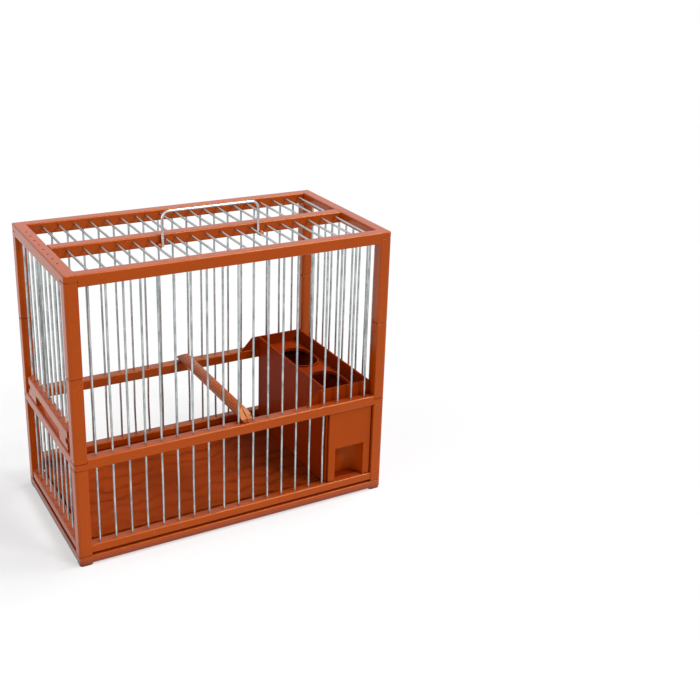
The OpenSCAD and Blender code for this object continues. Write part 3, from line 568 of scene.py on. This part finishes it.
EDGE_WIDTHS = {name: 0.0 for name in nodes if "wire" not in name}
EDGE_WIDTHS.update({name: 0.35 for name in nodes if "_post_" in name})
EDGE_WIDTHS.update({"base_frame": 0.8, "door_bar": 0.5, "feeder_drawer": 0.45, "feeder_housing": 0.3,
                    "litter_tray": 0.4, "bail_lug_left": 0.3, "bail_lug_right": 0.3})
for name, width in EDGE_WIDTHS.items():
    soften(name, width * MM)
bevelled = sum(width > 0 for width in EDGE_WIDTHS.values())
print("softened pieces:", len(EDGE_WIDTHS), "of them with a bevel:", bevelled)

# %% [markdown]
# ## Wires that a hand has cut and set
# A real wire is never quite straight: it is cut from a coil, straightened by rollers and pushed into
# its bores. Between two rails it bows by a few tenths of a millimetre. A perfectly straight bar looks
# drawn, so each wire becomes a tube round a centreline with a small bow of its own.


# %% Tubes round many centrelines
def tubes(lines, radius, sides=12):
    """Points and faces of round wires. Lines is an array of wires x rings x 3. Round each ring the
    point is centre + radius x (cos angle x a + sin angle x b), where a and b are square to the wire.
    The last 0.3 mm of both ends is rounded off, and one point closes each end."""
    wires, rings = lines.shape[:2]
    along = np.gradient(lines, axis=1)
    along /= np.linalg.norm(along, axis=2, keepdims=True)
    hint = np.where(np.abs(along[..., :1]) < 0.9, [1.0, 0, 0], [0, 0, 1.0])
    b = np.cross(along, hint)
    b /= np.linalg.norm(b, axis=2, keepdims=True)
    a = np.cross(b, along)
    angle = np.linspace(0, 2 * np.pi, sides, endpoint=False)
    taper = np.ones(rings)
    taper[[0, -1]] = END_TAPER
    ring = np.cos(angle)[:, None] * a[:, :, None] + np.sin(angle)[:, None] * b[:, :, None]
    skin = lines[:, :, None] + radius * taper[:, None, None] * ring
    ends = lines[:, [0, -1]]
    points = np.concatenate([skin.reshape(-1, 3), ends.reshape(-1, 3)])
    shape = grid_faces(rings, sides)
    body = np.concatenate([shape + w * rings * sides for w in range(wires)])
    first_end = wires * rings * sides
    caps = [cap_faces(w * rings * sides + end * (rings - 1) * sides, sides, first_end + 2 * w + end,
                      end == 0) for w in range(wires) for end in (0, 1)]
    return points, [body, *caps]


def middles(node, axis, least_gap=4 * MM):
    """Middles of the bars of a solid along one axis. Its coordinates are sorted, and a jump of more
    than the least gap starts the next bar."""
    mesh = nodes[node].data
    flat = np.empty(len(mesh.vertices) * 3, np.float32)
    mesh.vertices.foreach_get("co", flat)
    values = np.sort(flat.reshape(-1, 3)[:, axis].astype(float))
    parts = np.split(values, np.flatnonzero(np.diff(values) > least_gap) + 1)
    return np.array([(part[0] + part[-1]) / 2 for part in parts])


# %% The bow of each wire
rng = np.random.default_rng(7)
WIRE_RADIUS = 1.0 * MM
BOW, ROOF_BOW = 0.20 * MM, 0.25 * MM
END_TRIM, END_TAPER = 0.3 * MM, 0.7
SPAN_POINTS = 12


def bowed_lines(starts, ends, spans, axis, bow):
    """Centrelines from starts to ends with one bow in each free span. Within a span the offset is
    amplitude x sin(pi s) squared, with s from 0 to 1, so it starts and ends flat at the rails."""
    wires = len(starts)
    stops = np.concatenate([np.linspace(low, high, SPAN_POINTS) for low, high in spans])
    low, high = starts[0][axis], ends[0][axis]
    inner = stops[(stops > low + END_TRIM) & (stops < high - END_TRIM)]
    t = np.unique(np.concatenate([[low, low + END_TRIM], inner, [high - END_TRIM, high]]))
    share = ((t - low) / (high - low))[None, :, None]
    lines = starts[:, None] * (1 - share) + ends[:, None] * share
    for low_free, high_free in spans:
        s = np.clip((t - low_free) / (high_free - low_free), 0, 1)
        shift = np.clip(rng.normal(0, bow, (wires, 1, 3)), -2 * bow, 2 * bow)
        shift[..., axis] = 0
        lines = lines + shift * (np.sin(np.pi * s) ** 2)[None, :, None]
    return lines


def fence(name, node, axis_across, rails):
    """One row of upright wires in place of its solid. Rails are pairs of solids: the rail that a
    free span starts on and the rail that it ends under."""
    low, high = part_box(node)
    across = middles(node, axis_across)
    starts = np.tile([(low[0] + high[0]) / 2, (low[1] + high[1]) / 2, low[2]], (len(across), 1))
    starts[:, axis_across] = across
    ends = starts.copy()
    ends[:, 2] = high[2]
    spans = [(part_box(a)[1].z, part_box(b)[0].z) for a, b in rails]
    points, faces = tubes(bowed_lines(starts, ends, spans, 2, BOW), WIRE_RADIUS)
    piece = add_piece(name, points, faces, "cage", "galvanised_wire")
    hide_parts(node)
    print(name, len(across), "wires,", len(points), "points")
    return piece


# %% Upright wires
fence("front_fence", "front_long_wires", 0, [("front_bottom_rail", "front_middle_rail"),
                                             ("front_middle_rail", "front_top_rail")])
fence("front_fence_over_drawer", "front_short_wires", 0, [("front_middle_rail", "front_top_rail")])
fence("rear_fence", "rear_wires", 0, [("rear_bottom_rail", "rear_middle_rail"),
                                      ("rear_middle_rail", "rear_top_rail")])
fence("right_fence", "right_wires", 1, [("right_bottom_rail", "right_middle_rail"),
                                        ("right_middle_rail", "right_top_rail")])
fence("left_fence_under_door", "left_lower_wires", 1, [("left_bottom_rail", "left_middle_rail")])


# %% Roof wires
def roof_lines():
    """The roof's wires run from the front rail through the middle bar to the rear rail."""
    low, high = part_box("roof_wires")
    across = middles("roof_wires", 0)
    starts = np.tile([0, low[1], (low[2] + high[2]) / 2], (len(across), 1))
    starts[:, 0] = across
    ends = starts.copy()
    ends[:, 1] = high[1]
    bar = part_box("roof_bar")
    spans = [(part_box("front_top_rail")[1].y, bar[0].y), (bar[1].y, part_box("rear_top_rail")[0].y)]
    return bowed_lines(starts, ends, spans, 1, ROOF_BOW)


points, faces = tubes(roof_lines(), WIRE_RADIUS)
roof = add_piece("roof_fence", points, faces, "cage", "galvanised_wire")
# The roof's wires wear the brighter zinc, painted light for their upward faces.
roof.data.materials[0] = roof_zinc_painted_light
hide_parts("roof_wires")
print("roof wires:", len(points), "points")

# %% [markdown]
# ## The studio
# The cage stands on a white sweep. The floor is plain, catches a soft shadow and throws much light
# back up, while the room itself gives little, so the inside of the cage stays dark as in the
# photograph. Three wide soft lamps do the rest: the strongest shines from above, one from the front
# right and a weak one from the left.


# %% Floor and room
def seen_directly(tree):
    """1 for rays that come from the camera or from a mirror-like or clear surface, else 0."""
    path = put(tree, "ShaderNodeLightPath")
    some = math_node(tree, "MAXIMUM", path.outputs["Is Camera Ray"], path.outputs["Is Glossy Ray"])
    return math_node(tree, "MAXIMUM", some, path.outputs["Is Transmission Ray"])


def add_floor():
    """A wide square floor at the height of the feet, with a matt white finish."""
    side = np.array([-4.0, 4.0])
    x, y = np.meshgrid(side, side)
    points = np.stack([x.ravel(), y.ravel(), np.zeros(4)], axis=1)
    mesh = bpy.data.meshes.new("floor")
    mesh.from_pydata(points.tolist(), [], [(0, 1, 3, 2)])
    floor = bpy.data.objects.new("floor", mesh)
    bpy.context.scene.collection.objects.link(floor)
    material = bpy.data.materials.new("white sweep")
    material.use_nodes = True
    tree = material.node_tree
    tree.nodes.remove(tree.nodes["Principled BSDF"])
    plain = put(tree, "ShaderNodeBsdfDiffuse", {"Color": (0.88, 0.88, 0.88, 1)})
    shown = put(tree, "ShaderNodeBsdfDiffuse", {"Color": (0.36, 0.36, 0.363, 1)})
    lift = put(tree, "ShaderNodeEmission", {"Color": (1, 1, 1, 1), "Strength": 0.56})
    both = put(tree, "ShaderNodeAddShader", {0: shown.outputs[0], 1: lift.outputs[0]})
    choice = put(tree, "ShaderNodeMixShader", {0: seen_directly(tree), 1: plain.outputs[0],
                                               2: both.outputs[0]})
    tree.links.new(choice.outputs[0], tree.nodes["Material Output"].inputs["Surface"])
    mesh.materials.append(material)
    return floor


def add_room(strength):
    """World light of one plain strength, and white where it is seen directly."""
    world = bpy.data.worlds.new("room")
    world.use_nodes = True
    bpy.context.scene.world = world
    tree = world.node_tree
    light = tree.nodes["Background"]
    light.inputs["Color"].default_value = (1.0, 1.0, 1.0, 1)
    light.inputs["Strength"].default_value = strength
    white = put(tree, "ShaderNodeBackground", {"Color": (1, 1, 1, 1), "Strength": 1.0})
    choice = put(tree, "ShaderNodeMixShader", {0: seen_directly(tree), 1: light.outputs[0],
                                               2: white.outputs[0]})
    tree.links.new(choice.outputs[0], tree.nodes["World Output"].inputs["Surface"])


LAMPS = {"front lamp": ((0.42, -0.60, 0.68), 1.5, 18),
         "side lamp": ((-0.92, -0.15, 0.35), 1.1, 60),
         "top lamp": ((0.48, -0.06, 0.87), 2.5, 30)}
ROOM_STRENGTH = 0.14


def add_soft_sun(name, towards, strength, spread):
    """A distant lamp, so that the whole floor is lit evenly. Spread is the width in degrees of the
    disc that it shines from, which sets how soft the shadows are."""
    data = bpy.data.lights.new(name, "SUN")
    data.energy, data.angle = strength, math.radians(spread)
    lamp = bpy.data.objects.new(name, data)
    lamp.rotation_euler = (-Vector(towards)).to_track_quat("-Z", "Y").to_euler()
    bpy.context.scene.collection.objects.link(lamp)
    return lamp


add_floor()
add_room(ROOM_STRENGTH)
for lamp_name, (towards, strength, spread) in LAMPS.items():
    add_soft_sun(lamp_name, towards, strength, spread)
bpy.context.scene.view_settings.view_transform = "Standard"
print("lamps:", list(LAMPS))
